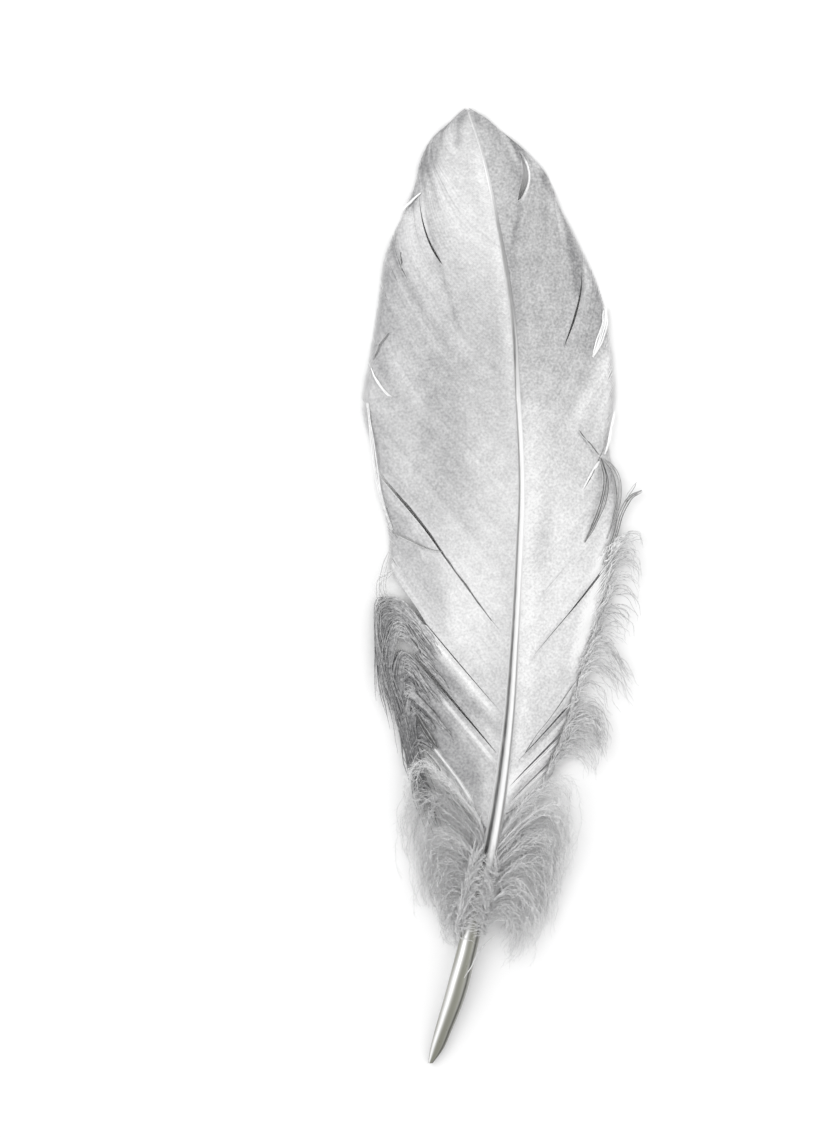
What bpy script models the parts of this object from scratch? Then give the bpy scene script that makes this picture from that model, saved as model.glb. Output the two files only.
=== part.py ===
"""A goose's wing quill feather sprayed silver: one grown piece, lying as it rests on a table.

Its smooth upper face looks up, its tip points to +Y and its bare quill to -Y. A place on it is
given by two distances in millimetres: "across" is to the right of the box's middle, and "back" is
from the feather's tip towards the quill.
"""
import math

import bmesh
import bpy
import numpy as np

MM = 0.001

# Driving dimensions, in millimetres
LENGTH = 181.6
VANE_THICKNESS = 0.4
LOCKS_A_SIDE = 22
LOCK_CROWN = 0.3          # how far a lock's middle stands above its sides
LOCK_NICK = (0.93, 0.5)   # where the nick between two locks starts on the barb, and its width
SLIT_LIMIT = 0.3          # most of a half lock that the slit beside it may take
ROOT_OVERLAP = 0.2        # how far each vane's root lies past the shaft's middle
SHAFT_SIDES = 10
SHAFT_STATIONS = 34
QUILL_CROWDING = 1.35     # over 1, the shaft's stations crowd towards the quill's end
TUFT_SIDES = 6
TUFT_STATIONS = 9
TUFT_THICKNESS = 1.6
TUFT_SLIMNESS = 0.26      # most that a tuft's width may be, as a share of its length
ATTACH = 0.7              # height on the shaft where the barbs leave it, as a share of its own
ROOF = 0.45               # share of the vane's fall that is straight; the rest bends down

SILVER = (0.78, 0.78, 0.78, 1.0)
SILVER_ROUGHNESS = 0.4
SILVER_METALLIC = 0.6

# The shaft: back, across, underside's height, half width, half height
SHAFT = (
    (0.6, -6.7, 0.10, 0.18, 0.18),
    (8.4, -4.1, 1.15, 0.30, 0.30),
    (15.2, -2.5, 2.10, 0.36, 0.40),
    (25.8, -0.4, 3.50, 0.43, 0.50),
    (37.0, 1.4, 4.70, 0.52, 0.62),
    (56.4, 2.8, 6.00, 0.57, 0.75),
    (72.8, 3.4, 6.30, 0.64, 0.85),
    (86.1, 2.9, 6.05, 0.80, 1.00),
    (101.3, 2.1, 5.35, 0.92, 1.15),
    (116.7, 1.0, 4.30, 1.15, 1.30),
    (131.7, -0.9, 3.05, 1.42, 1.50),
    (139.7, -2.3, 2.40, 1.60, 1.62),
    (152.4, -5.1, 1.40, 1.76, 1.75),
    (162.1, -7.4, 0.70, 1.98, 1.90),
    (168.5, -9.05, 0.30, 2.02, 1.85),
    (175.0, -11.25, 0.00, 1.65, 1.45),
    (179.4, -12.8, 0.10, 1.15, 0.90),
    (181.6, -13.8, 0.40, 0.45, 0.35),
)

# Outlines of the two vanes: back, across
LEFT_EDGE = (
    (0.0, -6.8),
    (0.6, -8.3),
    (3.0, -10.3),
    (5.6, -13.2),
    (10.1, -15.7),
    (15.2, -16.9),
    (20.5, -19.2),
    (28.5, -22.6),
    (35.0, -23.6),
    (46.4, -25.3),
    (57.5, -26.9),
    (64.0, -25.3),
    (72.2, -23.9),
    (80.0, -22.0),
    (90.6, -21.5),
    (101.3, -20.3),
    (115.0, -18.4),
    (128.0, -16.0),
)
RIGHT_EDGE = (
    (0.0, -6.8),
    (0.6, -5.2),
    (1.6, -3.4),
    (3.8, -1.3),
    (7.8, 3.6),
    (12.4, 8.0),
    (19.0, 10.7),
    (25.1, 13.9),
    (33.8, 18.0),
    (45.4, 20.5),
    (55.0, 21.3),
    (64.2, 20.2),
    (73.0, 21.8),
    (82.3, 21.3),
    (95.6, 18.9),
    (105.3, 15.6),
    (113.4, 13.8),
    (120.3, 11.8),
    (133.0, 6.3),
)

# How far ahead of its root each barb reaches the edge: root back, reach
LEFT_REACH = (
    (0.0, 0.0),
    (5.3, 3.9),
    (11.0, 8.4),
    (20.5, 16.6),
    (29.4, 23.9),
    (37.6, 28.8),
    (46.2, 31.4),
    (65.2, 35.6),
    (88.0, 35.4),
    (102.6, 34.5),
    (116.8, 26.6),
    (137.4, 22.4),
)
RIGHT_REACH = (
    (0.0, 0.0),
    (5.3, 3.9),
    (10.1, 7.6),
    (17.7, 13.8),
    (26.2, 20.4),
    (34.8, 25.3),
    (44.3, 29.6),
    (58.0, 35.6),
    (68.0, 30.0),
    (76.6, 25.4),
    (87.0, 22.8),
    (107.9, 24.6),
    (122.2, 17.4),
    (141.2, 9.8),
)
BARB_BEND = 0.72          # how much of the reach a barb would make if it ran on straight
VANE_START = 1.0          # root of the foremost barb

# Places where the barbs have come apart: root back, the barb's share where the slit starts, and its
# width at the vane's edge
LEFT_SLITS = (
    (29.4, 0.72, 0.5),
    (46.2, 0.60, 0.7),
    (102.6, 0.06, 0.7),
    (116.8, 0.06, 2.6),
    (125.6, 0.15, 1.2),
)
RIGHT_SLITS = (
    (29.4, 0.48, 1.3),
    (58.0, 0.36, 0.6),
    (68.0, 0.60, 1.7),
    (107.9, 0.15, 0.9),
    (128.8, 0.25, 0.9),
)
BARB_SHARES = (0.0, 0.06, 0.15, 0.25, 0.36, 0.48, 0.60, 0.72, 0.83, 0.93, 1.0)

# Loose locks of down: root back, tip across, tip back, and how far ahead of its root a lock rises
# before it hangs over
LEFT_TUFTS = (
    (124.1, -24.4, 109.0, 30.0),
    (126.9, -23.4, 118.0, 27.0),
    (129.8, -22.4, 126.5, 23.0),
    (132.6, -20.7, 133.5, 19.0),
    (135.5, -19.2, 140.0, 15.0),
    (138.3, -18.0, 146.0, 11.5),
    (141.2, -16.4, 151.5, 8.5),
    (144.0, -14.4, 155.0, 6.0),
    (147.3, -12.0, 158.0, 4.0),
    (150.5, -9.6, 159.5, 2.0),
)
RIGHT_TUFTS = (
    (112.7, 25.2, 101.0, 24.0),
    (116.5, 25.6, 110.0, 21.0),
    (121.2, 24.6, 118.0, 18.5),
    (125.0, 21.4, 126.0, 15.5),
    (128.8, 17.6, 133.0, 12.5),
    (132.6, 14.4, 140.0, 10.0),
    (136.4, 11.6, 146.0, 8.0),
    (140.2, 9.2, 151.0, 6.0),
    (143.6, 6.6, 155.0, 4.0),
    (147.3, 3.6, 158.5, 2.0),
)
# Down that rises beside the quill's upper end and lies over it
COVER_TUFTS = (
    (156.0, -0.8, 141.5, 6.0),
    (157.5, -8.2, 143.5, 6.0),
)
# A lock's width, and the height of its middle at its crest and at its tip
HANGING_LOCK = (5.0, 2.6, 0.8)
COVER_LOCK = (3.4, 5.2, 4.4)
TUFT_FULLNESS = ((0.0, 0.35), (0.3, 0.85), (0.6, 1.0), (0.85, 0.7), (1.0, 0.2))


def clear_scene():
    for thing in list(bpy.data.objects):
        bpy.data.objects.remove(thing, do_unlink=True)


def smooth(rows, where):
    """Read a table at a place in its first column, on a smooth curve through its rows."""
    rows = np.asarray(rows, dtype=float)
    stations = rows[:, 0]
    slopes = np.gradient(rows, stations, axis=0)
    i = int(np.clip(np.searchsorted(stations, where) - 1, 0, len(stations) - 2))
    span = stations[i + 1] - stations[i]
    s = float(np.clip((where - stations[i]) / span, 0.0, 1.0))
    start = (2 * s - 3) * s * s + 1
    end = (3 - 2 * s) * s * s
    value = start * rows[i] + end * rows[i + 1]
    value += span * s * (1 - s) * ((1 - s) * slopes[i] - s * slopes[i + 1])
    return value[1:]


def world(across, back, height):
    return (across * MM, (LENGTH / 2 - back) * MM, height * MM)


def barb_point(edge, reach, root, share):
    """Where the barb from this root has come to, as a share of its way from the shaft to the edge."""
    back = root - smooth(reach, root)[0] * share * (BARB_BEND + (1 - BARB_BEND) * share)
    shaft_across = smooth(SHAFT, back)[0]
    return np.array((shaft_across + (smooth(edge, back)[0] - shaft_across) * share, back))


def vane_height(edge, across, back):
    """Height of the vane's underside, which falls from the shaft to the table like a roof."""
    shaft_across, underside, _, half_height = smooth(SHAFT, back)
    attach = underside + 2 * half_height * ATTACH - VANE_THICKNESS / 2
    span = max(abs(smooth(edge, back)[0] - shaft_across), 0.5)
    out = min(abs(across - shaft_across) / span, 1.0)
    return max(attach * (1 - ROOF * out - (1 - ROOF) * out * out), 0.0)


def shape_object(name, shape):
    mesh = bpy.data.meshes.new(name)
    bmesh.ops.recalc_face_normals(shape, faces=shape.faces)
    shape.to_mesh(mesh)
    shape.free()
    thing = bpy.data.objects.new(name, mesh)
    bpy.context.scene.collection.objects.link(thing)
    return thing


def loft(name, rings):
    """A closed body through rings that all have the same number of points."""
    shape = bmesh.new()
    loops = [[shape.verts.new(point) for point in ring] for ring in rings]
    for one, two in zip(loops, loops[1:]):
        for k in range(len(one)):
            n = (k + 1) % len(one)
            shape.faces.new((one[k], one[n], two[n], two[k]))
    shape.faces.new(loops[0])
    shape.faces.new(loops[-1])
    return shape_object(name, shape)


def make_shaft():
    """The rachis and the quill in one, on stations closer together where the quill rounds off."""
    first, last = SHAFT[0][0], SHAFT[-1][0]
    rings = []
    for i in range(SHAFT_STATIONS):
        share = i / (SHAFT_STATIONS - 1)
        back = first + (last - first) * (1 - (1 - share) ** QUILL_CROWDING)
        across, underside, half_width, half_height = smooth(SHAFT, back)
        ring = []
        for k in range(SHAFT_SIDES):
            turn = math.tau * (k + 0.5) / SHAFT_SIDES
            ring.append(world(across + half_width * math.cos(turn), back,
                              underside + half_height * (1 + math.sin(turn))))
        rings.append(ring)
    return loft("goose_quill_feather", rings)


def lock_bounds(reach, slits):
    """Roots of the barbs between two locks, each slit on one, with the slit's start and width."""
    roots = np.linspace(VANE_START, reach[-1][0], LOCKS_A_SIDE + 1)
    bounds = [(root, *LOCK_NICK) for root in roots]
    for slit in slits:
        nearest = int(np.argmin([abs(bound[0] - slit[0]) for bound in bounds]))
        bounds[nearest] = slit
    return bounds


def make_vane(name, edge, reach, slits, side):
    """One vane as a closed plate whose locks part at the slits; side is -1 for the left one."""
    shape = bmesh.new()
    bounds = lock_bounds(reach, slits)

    def column(root, middle, slit):
        """A barb's points; one beside a slit is drawn in towards its lock's middle barb."""
        points = []
        for share in BARB_SHARES:
            place = barb_point(edge, reach, root, share)
            crown = 0.0 if slit else LOCK_CROWN * math.sin(math.pi * min(share, 0.9))
            if slit and share > slit[1]:
                opened = math.sqrt((share - slit[1]) / (1 - slit[1]))
                inward = barb_point(edge, reach, middle, share) - place
                room = np.linalg.norm(inward)
                place += inward / room * min(slit[2] / 2 * opened, SLIT_LIMIT * room)
            height = vane_height(edge, *place) + crown
            overlap = -side * ROOT_OVERLAP if share == 0.0 else 0.0
            points.append(shape.verts.new(world(place[0] + overlap, place[1], height)))
        return points

    for upper, lower in zip(bounds, bounds[1:]):
        middle = (upper[0] + lower[0]) / 2
        columns = (
            column(upper[0], middle, upper),
            column(middle, middle, None),
            column(lower[0], middle, lower),
        )
        for one, two in zip(columns, columns[1:]):
            for k in range(len(BARB_SHARES) - 1):
                corners = (one[k], two[k], two[k + 1], one[k + 1])
                shape.faces.new(corners)
    bmesh.ops.remove_doubles(shape, verts=shape.verts, dist=1e-7)
    raised = bmesh.ops.extrude_face_region(shape, geom=shape.faces[:], use_keep_orig=True)["geom"]
    upper_face = [item for item in raised if isinstance(item, bmesh.types.BMVert)]
    bmesh.ops.translate(shape, verts=upper_face, vec=(0, 0, VANE_THICKNESS * MM))
    return shape_object(name, shape)


def make_tuft(name, lock, root, tip_across, tip_back, rise):
    """A loose lock as a flat spindle that leaves the shaft, rises to a crest and hangs down."""
    shaft_across, underside, _, half_height = smooth(SHAFT, root)
    middle = underside + half_height
    out = tip_across - shaft_across
    width, crest_height, tip_height = lock
    width = min(width, TUFT_SLIMNESS * math.hypot(out, root - tip_back))
    a = np.array((shaft_across, root, middle))
    b = np.array((shaft_across + 0.55 * out, root - 0.75 * rise, crest_height))
    c = np.array((tip_across + 0.08 * out, root - 1.25 * rise, crest_height))
    d = np.array((tip_across, tip_back, tip_height))
    rings = []
    for i in range(TUFT_STATIONS):
        share = i / (TUFT_STATIONS - 1)
        rest = 1 - share
        centre = rest**3 * a + 3 * rest**2 * share * b + 3 * rest * share**2 * c + share**3 * d
        ahead = rest**2 * (b - a) + 2 * rest * share * (c - b) + share**2 * (d - c)
        sideways = np.array((ahead[1], -ahead[0], 0.0)) / math.hypot(ahead[0], ahead[1])
        fullness = float(smooth(TUFT_FULLNESS, share)[0])
        ring = []
        for k in range(TUFT_SIDES):
            turn = math.tau * k / TUFT_SIDES
            point = centre + sideways * width / 2 * fullness * math.cos(turn)
            point[2] += TUFT_THICKNESS / 2 * fullness * math.sin(turn)
            ring.append(world(*point))
        rings.append(ring)
    return loft(name, rings)


def silver_paint():
    paint = bpy.data.materials.new("silver_paint")
    paint.use_nodes = True
    shader = paint.node_tree.nodes["Principled BSDF"]
    shader.inputs["Base Color"].default_value = SILVER
    shader.inputs["Roughness"].default_value = SILVER_ROUGHNESS
    shader.inputs["Metallic"].default_value = SILVER_METALLIC
    return paint


def fuse(body, grown):
    """Join what has grown from the shaft to it, in one closed solid."""
    growth = bpy.data.collections.new("growth")
    bpy.context.scene.collection.children.link(growth)
    for thing in grown:
        growth.objects.link(thing)
        thing.hide_render = True
        thing.display_type = "WIRE"
    union = body.modifiers.new("grown_together", "BOOLEAN")
    union.operation = "UNION"
    union.operand_type = "COLLECTION"
    union.collection = growth
    union.solver = "EXACT"


clear_scene()
feather = make_shaft()
growth = [
    make_vane("left_vane", LEFT_EDGE, LEFT_REACH, LEFT_SLITS, -1),
    make_vane("right_vane", RIGHT_EDGE, RIGHT_REACH, RIGHT_SLITS, 1),
]
for i, tuft in enumerate(LEFT_TUFTS + RIGHT_TUFTS):
    growth.append(make_tuft(f"hanging_tuft_{i + 1}", HANGING_LOCK, *tuft))
for i, tuft in enumerate(COVER_TUFTS):
    growth.append(make_tuft(f"cover_tuft_{i + 1}", COVER_LOCK, *tuft))
fuse(feather, growth)
feather.data.materials.append(silver_paint())
feather.data.shade_smooth()
feather.data.set_sharp_from_angle(angle=math.radians(40))
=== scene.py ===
import math

import bpy
import numpy as np
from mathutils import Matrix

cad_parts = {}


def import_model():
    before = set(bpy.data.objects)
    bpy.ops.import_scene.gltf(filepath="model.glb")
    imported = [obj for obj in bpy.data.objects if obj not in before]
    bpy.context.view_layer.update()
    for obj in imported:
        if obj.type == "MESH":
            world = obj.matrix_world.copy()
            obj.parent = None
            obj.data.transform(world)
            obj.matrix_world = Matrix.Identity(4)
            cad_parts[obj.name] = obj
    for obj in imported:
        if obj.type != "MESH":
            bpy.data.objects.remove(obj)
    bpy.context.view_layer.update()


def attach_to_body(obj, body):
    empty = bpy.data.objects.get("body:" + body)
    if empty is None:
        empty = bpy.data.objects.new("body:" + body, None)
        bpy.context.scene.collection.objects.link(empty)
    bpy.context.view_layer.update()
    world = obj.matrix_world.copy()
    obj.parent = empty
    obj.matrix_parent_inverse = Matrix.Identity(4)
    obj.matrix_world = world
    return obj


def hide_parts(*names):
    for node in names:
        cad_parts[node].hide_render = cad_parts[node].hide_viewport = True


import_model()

# ----------------------------------------
# The shaft. One horny growth: a round hollow quill below, and above it the pithy rachis, squarer,
# with a furrow along its underside. It was sprayed silver with the rest, thinly at the quill's
# end, where the olive horn shows through. Its paint carries painted shade and a painted highlight.
MM = 0.001
LENGTH = 181.6
FEATHER = "goose_quill_feather"

# Places on the feather are in millimetres: "back" from its tip towards the quill, "across" to the
# right of its box's middle. The shaft's rows: back, across, underside's height, half width, half
# height.
SHAFT = (
    (0.6, -6.7, 0.10, 0.18, 0.18),
    (8.4, -4.1, 1.15, 0.30, 0.30),
    (15.2, -2.5, 2.10, 0.36, 0.40),
    (25.8, -0.4, 3.50, 0.43, 0.50),
    (37.0, 1.4, 4.70, 0.52, 0.62),
    (56.4, 2.8, 6.00, 0.57, 0.75),
    (72.8, 3.4, 6.30, 0.64, 0.85),
    (86.1, 2.9, 6.05, 0.80, 1.00),
    (101.3, 2.1, 5.35, 0.92, 1.15),
    (116.7, 1.0, 4.30, 1.15, 1.30),
    (131.7, -0.9, 3.05, 1.42, 1.50),
    (139.7, -2.3, 2.40, 1.60, 1.62),
    (152.4, -5.1, 1.40, 1.76, 1.75),
    (162.1, -7.4, 0.70, 1.98, 1.90),
    (168.5, -9.05, 0.30, 2.02, 1.85),
    (175.0, -11.25, 0.00, 1.65, 1.45),
    (179.4, -12.8, 0.10, 1.15, 0.90),
    (181.6, -13.8, 0.40, 0.45, 0.35),
)
SHAFT_SIDES = 48
SHAFT_RINGS = 190
RINGS_TO_THE_END = 1.35        # over 1, the rings crowd towards the quill's end
RACHIS_FADES = (144.0, 158.0)  # where the squarer rachis turns into the round quill
RACHIS_SQUARENESS = 0.35       # 0 would be round
FURROW = (0.34, 0.24)          # the underside's furrow: depth as a share of the half height, width
FURROW_SHADE = 0.35
# The crease left of the rachis's middle, dented, with painted shade in it: back, place as a share
# of the half width, strength
CREASE = (
    (0.0, -0.7, 0.0),
    (40.0, -0.62, 0.0),
    (58.0, -0.6, 0.6),
    (90.0, -0.48, 0.85),
    (131.0, -0.44, 0.95),
    (148.0, -0.4, 0.9),
    (160.0, -0.3, 0.0),
    (182.0, -0.3, 0.0),
)
CREASE_WIDTH = 0.38
CREASE_DEPTH = 0.12
# Painted strips along the shaft, two of painted shade and one painted highlight: their places and
# widths, as shares of its half width
RIM_LINE = (0.70, 0.20)        # the fainter dark line right of the middle
GLEAM = (-0.42, 0.27)          # the quill's brightest strip
DARK_STRIP = (0.70, 0.19)      # and its darkest
# Shades, and shifts to the left, that grow along the shaft or round it: their full size, and
# from where to where they grow
RIM_LINE_SHADE = (0.7, 75.0, 115.0)
GLEAM_SHIFTS = ((0.14, 160.0, 167.0), (0.10, 174.0, 179.0))
QUILL_RIM_SHADE = (0.6, 0.86, 1.05)
QUILL_END_SHADE = (0.3, 166.0, 182.0)
QUILL_UNDERSIDE_SHADE = (0.3, -0.3, 0.3)
UPPER_SIDE = -0.2              # the fainter line shows above this share of the half height
# The rachis's left flank is in shade near the tip, until light spreads over it from the right
FLANK_SHADE = 0.52
FLANK_EDGE = (-1.05, -0.55)
FLANK_STRETCH = ((13.0, 24.0), (47.0, 56.0))
FLANK_NARROWS = (0.15, 36.0, 46.0)
FLANK_LIGHT = (0.75, 37.0, 45.0)
LIGHT_EDGE = (0.1, 0.5)
LIGHT_SPREADS = (0.6, 44.0, 52.0)
# Shades that end along the rachis, and one that comes and goes
TIP_SHADES = ((0.22, (6.0, 18.0)), (0.12, (45.0, 70.0)))
DIM_SHADE = 0.10
DIM_STRETCH = ((38.0, 44.0), (52.0, 60.0))
BARE_HORN = 0.92               # how bare the quill is at most
STRIP_COVER = 0.7              # how much of that the painted shade in its dark strip covers
BARE_ABOVE = (-0.1, 0.5)       # the horn shows on the upper side alone
STREAK_SIZE = (3.2, 0.12)      # the brushed streaks: how many to a millimetre, width over length
STREAK_TONE = 0.12
# The paint when lit and in painted shade: the shade attribute mixes one into the other
LIT_SILVER = (0.93, 0.93, 0.93, 1.0)
SHADED_SILVER = (0.04, 0.04, 0.04, 1.0)
OLIVE_HORN = (0.175, 0.175, 0.135, 1.0)


def curve(a, b, slope_a, slope_b, s):
    """On a smooth curve from a to b, at the share s of the way."""
    line = ((2 * s - 3) * s * s + 1) * a + (3 - 2 * s) * s * s * b
    return line + s * (1 - s) * ((1 - s) * slope_a - s * slope_b)


def along(rows, where):
    """Read a table at places in its first column, on smooth curves through its rows."""
    rows = np.asarray(rows, dtype=float)
    where = np.asarray(where, dtype=float)
    stations = rows[:, 0]
    slopes = np.gradient(rows, stations, axis=0)
    i = np.clip(np.searchsorted(stations, where) - 1, 0, len(stations) - 2)
    span = (stations[i + 1] - stations[i])[..., None]
    s = np.clip((where - stations[i])[..., None] / span, 0.0, 1.0)
    value = curve(rows[i], rows[i + 1], span * slopes[i], span * slopes[i + 1], s)
    return np.moveaxis(value[..., 1:], -1, 0)


def world(across, back, height):
    """Metres in the frame, from millimetres on the feather."""
    return np.stack(np.broadcast_arrays(across, LENGTH / 2 - back, height), axis=-1) * MM


def fade(value, start, end):
    """0 before the start, 1 after the end, and a soft step between them."""
    s = np.clip((np.asarray(value, dtype=float) - start) / (end - start), 0.0, 1.0)
    return s * s * (3 - 2 * s)


def grown(value, size, start, end):
    """Nothing before the start, and the full size after the end."""
    return size * fade(value, start, end)


def between(value, comes, goes):
    """1 from where it has come to where it goes, with a soft step at each."""
    return fade(value, *comes) * (1 - fade(value, *goes))


def peak(value, place, width):
    """1 at the place, and less on both sides of it."""
    return np.exp(-((value - place) / width) ** 2)


def mark_points(mesh, key, values, kind="FLOAT", field="value"):
    """Keep values on the mesh's points, for its material or a node tree to read."""
    layer = mesh.attributes.new(key, kind, "POINT")
    layer.data.foreach_set(field, np.ravel(values).astype(np.float32))


def set_out(name, data):
    """Put something into the scene, at the origin."""
    thing = bpy.data.objects.new(name, data)
    bpy.context.scene.collection.objects.link(thing)
    return thing


def add_piece(name, mesh):
    piece = set_out(name, mesh)
    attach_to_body(piece, "root")
    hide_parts(FEATHER)
    return piece


def shade_shaft(back, side, up, rachis, crease, furrow):
    """Painted shade, and how bare the horn is outside the painted highlight, at each point round the shaft.
    """
    rim_line = grown(back, *RIM_LINE_SHADE) * peak(side, *RIM_LINE) * (up > UPPER_SIDE)
    gleam = peak(side, GLEAM[0] - sum(grown(back, *shift) for shift in GLEAM_SHIFTS), GLEAM[1])
    dark_strip = peak(side, *DARK_STRIP)
    quill = np.maximum(dark_strip, grown(-side, *QUILL_RIM_SHADE))
    quill = quill + grown(back, *QUILL_END_SHADE) * (1 - gleam) + grown(-up, *QUILL_UNDERSIDE_SHADE)
    light = grown(back, *FLANK_LIGHT) * fade(side + grown(back, *LIGHT_SPREADS), *LIGHT_EDGE)
    flank = fade(side - grown(back, *FLANK_NARROWS), *FLANK_EDGE) * (1 - light)
    shade = np.maximum(crease, rachis * rim_line) + (1 - rachis) * quill + FURROW_SHADE * furrow
    shade = shade + FLANK_SHADE * flank * between(back, *FLANK_STRETCH)
    shade = shade + sum(size * (1 - fade(back, *ends)) for size, ends in TIP_SHADES)
    shade = shade + DIM_SHADE * between(back, *DIM_STRETCH)
    bare = BARE_HORN * (1 - rachis) * (1 - gleam) * (1 - STRIP_COVER * dark_strip) * fade(up, *BARE_ABOVE)
    return np.clip(shade, 0.0, 1.0), np.clip(bare, 0.0, 1.0)


def make_shaft():
    """Rings of points along the shaft, skinned, with a cap at each end."""
    share = np.linspace(0.0, 1.0, SHAFT_RINGS)[:, None]
    back = SHAFT[0][0] + (SHAFT[-1][0] - SHAFT[0][0]) * (1 - (1 - share) ** RINGS_TO_THE_END)
    across, underside, half_width, half_height = along(SHAFT, back)
    turn = math.tau * (np.arange(SHAFT_SIDES) + 0.5)[None, :] / SHAFT_SIDES
    rachis = 1 - fade(back, *RACHIS_FADES)
    squareness = 1 / (1 + RACHIS_SQUARENESS * rachis)
    side = np.sign(np.cos(turn)) * np.abs(np.cos(turn)) ** squareness
    up = np.sign(np.sin(turn)) * np.abs(np.sin(turn)) ** squareness
    furrow = rachis * peak(side, 0.0, FURROW[1]) * (up < 0)
    place, strength = along(CREASE, back)
    crease = strength * np.exp(-(np.abs((side - place) / CREASE_WIDTH) ** 3)) * (up > 0)
    up = up + FURROW[0] * furrow - CREASE_DEPTH * crease
    points = world(across + half_width * side, back, underside + half_height * (1 + up))

    faces = []
    last = (SHAFT_RINGS - 1) * SHAFT_SIDES
    for ring in range(0, last, SHAFT_SIDES):
        for k in range(SHAFT_SIDES):
            n = (k + 1) % SHAFT_SIDES
            faces.append((ring + k, ring + n, ring + SHAFT_SIDES + n, ring + SHAFT_SIDES + k))
    faces.append(tuple(range(SHAFT_SIDES))[::-1])
    faces.append(tuple(range(last, last + SHAFT_SIDES)))
    mesh = bpy.data.meshes.new("shaft")
    mesh.from_pydata(points.reshape(-1, 3).tolist(), [], faces)
    shade, bare = shade_shaft(back, side, up, rachis, crease, furrow)
    mark_points(mesh, "shade", shade)
    mark_points(mesh, "bare", bare)
    mesh.shade_smooth()
    return mesh


def feed(tree, node, feeds):
    """Give the node's inputs their values, or their links from other nodes."""
    for key, value in feeds.items():
        if isinstance(value, bpy.types.NodeSocket):
            tree.links.new(value, node.inputs[key])
        else:
            node.inputs[key].default_value = value


def add_node(tree, kind, output, feeds=None, **settings):
    """Add a node with its settings and feeds, and return the output that is used."""
    node = tree.nodes.new(kind)
    for key, value in settings.items():
        setattr(node, key, value)
    feed(tree, node, feeds or {})
    return node.outputs[output]


def spread_out(tree, value, low, high, start=0.0, end=1.0):
    """Make what runs from the start to the end run from low to high."""
    return add_node(tree, "ShaderNodeMapRange", "Result",
                    {"Value": value, "From Min": start, "From Max": end, "To Min": low, "To Max": high})


def reckon(tree, operation, one, other, clamp=False):
    return add_node(tree, "ShaderNodeMath", "Value", {0: one, 1: other},
                    operation=operation, use_clamp=clamp)


def mix_colours(tree, share, one, other):
    return add_node(tree, "ShaderNodeMix", 2, {0: share, 6: one, 7: other}, data_type="RGBA")


def mottle(tree, place, spots_a_metre, detail):
    return add_node(tree, "ShaderNodeTexNoise", "Fac",
                    {"Vector": place, "Scale": spots_a_metre, "Detail": detail})


def roughen(tree, height, strength, depth):
    return add_node(tree, "ShaderNodeBump", "Normal",
                    {"Height": height, "Strength": strength, "Distance": depth * MM})


def start_paint(name):
    paint = bpy.data.materials.new(name)
    paint.use_nodes = True
    return paint, paint.node_tree


def shaft_paint():
    """Silver over olive horn: near white where lit, with its painted shade darkest in the crease."""
    paint, tree = start_paint("silver_on_horn")
    shade = add_node(tree, "ShaderNodeAttribute", "Fac", attribute_name="shade")
    bare = add_node(tree, "ShaderNodeAttribute", "Fac", attribute_name="bare")
    streaks_a_mm, slimness = STREAK_SIZE
    place = add_node(tree, "ShaderNodeMapping", "Vector", {
        "Vector": add_node(tree, "ShaderNodeTexCoord", "Object"), "Scale": (1.0, slimness, 1.0)})
    streaks = mottle(tree, place, streaks_a_mm / MM, 3.0)
    # The painted shade from the shade attribute, with the brushed streaks over it
    loss = reckon(tree, "ADD", shade, spread_out(tree, streaks, -STREAK_TONE, STREAK_TONE), clamp=True)
    silver = mix_colours(tree, loss, LIT_SILVER, SHADED_SILVER)
    feed(tree, tree.nodes["Principled BSDF"], {
        "Base Color": mix_colours(tree, bare, silver, OLIVE_HORN),
        "Metallic": 0.45,
        "Roughness": spread_out(tree, streaks, 0.22, 0.40),
        "Specular IOR Level": 0.6,
        "Normal": roughen(tree, streaks, 0.25, 0.04),
    })
    return paint


shaft = add_piece("shaft", make_shaft())
shaft.data.materials.append(shaft_paint())

# ----------------------------------------
# The left vane, the broader one. Some three hundred flat barbs grow from the shaft's side, each
# hooked to the next into one smooth sheet that falls like a roof to the surface it lies on. Where
# the hooks have let go, slits run along the barbs.
rng = np.random.default_rng(11)  # the same barbs at every run
BARBS_A_SIDE = 300
BARB_POINTS = 27
BARB_OVERLAP = 1.45      # a barb's breadth over the room between two barbs
BARB_LEAST = 0.3         # its least breadth
BARB_FLATNESS = 0.11     # its thickness over its breadth
BARB_TAPER = (0.8, 0.93, 1.0)  # share of its breadth that goes, and between which shares of its length
BARB_BEND = 0.72         # share of its reach that a barb would make if it ran on straight
UNEVENNESS = 0.006       # of the barbs' lengths, as a share, and of their heights
WANDER = 0.05            # how far barbs stray along the shaft by their ends
VANE_START = 1.0         # root of the foremost barb
SHEET_MIDDLE = 0.25      # how far the barbs lie above the vane's underside
LOWEST = 0.08            # no barb lies lower over the table
PLATE = 0.4
ATTACH = 0.7             # height on the shaft where barbs leave it, as a share of the shaft's own
ROOF = 0.45              # share of the vane's fall that is straight; the rest bends down
SLIT_SPREAD = 4.0        # how far from a slit its barbs are still pushed aside
LOCK_SIZES = (3.5, 8.0)  # room between two places where barbs part a little
LOCK_CROWN = (0.03, 0.35)  # how far a lock's middle stands above its sides, near the tip and low down
LOCKS_LOOSEN = (108.0, 128.0)
NICK_STARTS = (0.86, 0.96)  # between locks the edge is nicked from this share of a barb on
NICK_WIDTHS = (0.0, 0.15)
RIPPLES = ((6.3, 0.03), (11.0, 0.06), (23.0, 0.14))  # waves across the barbs: length, height
STREAK_END = 0.08        # a streak comes or goes over this share of a barb, before its end and past it
MARGIN = (0.8, 1.0)      # the darker margin begins between these shares of a barb
MARGIN_ENDS = (95.0, 115.0)
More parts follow.
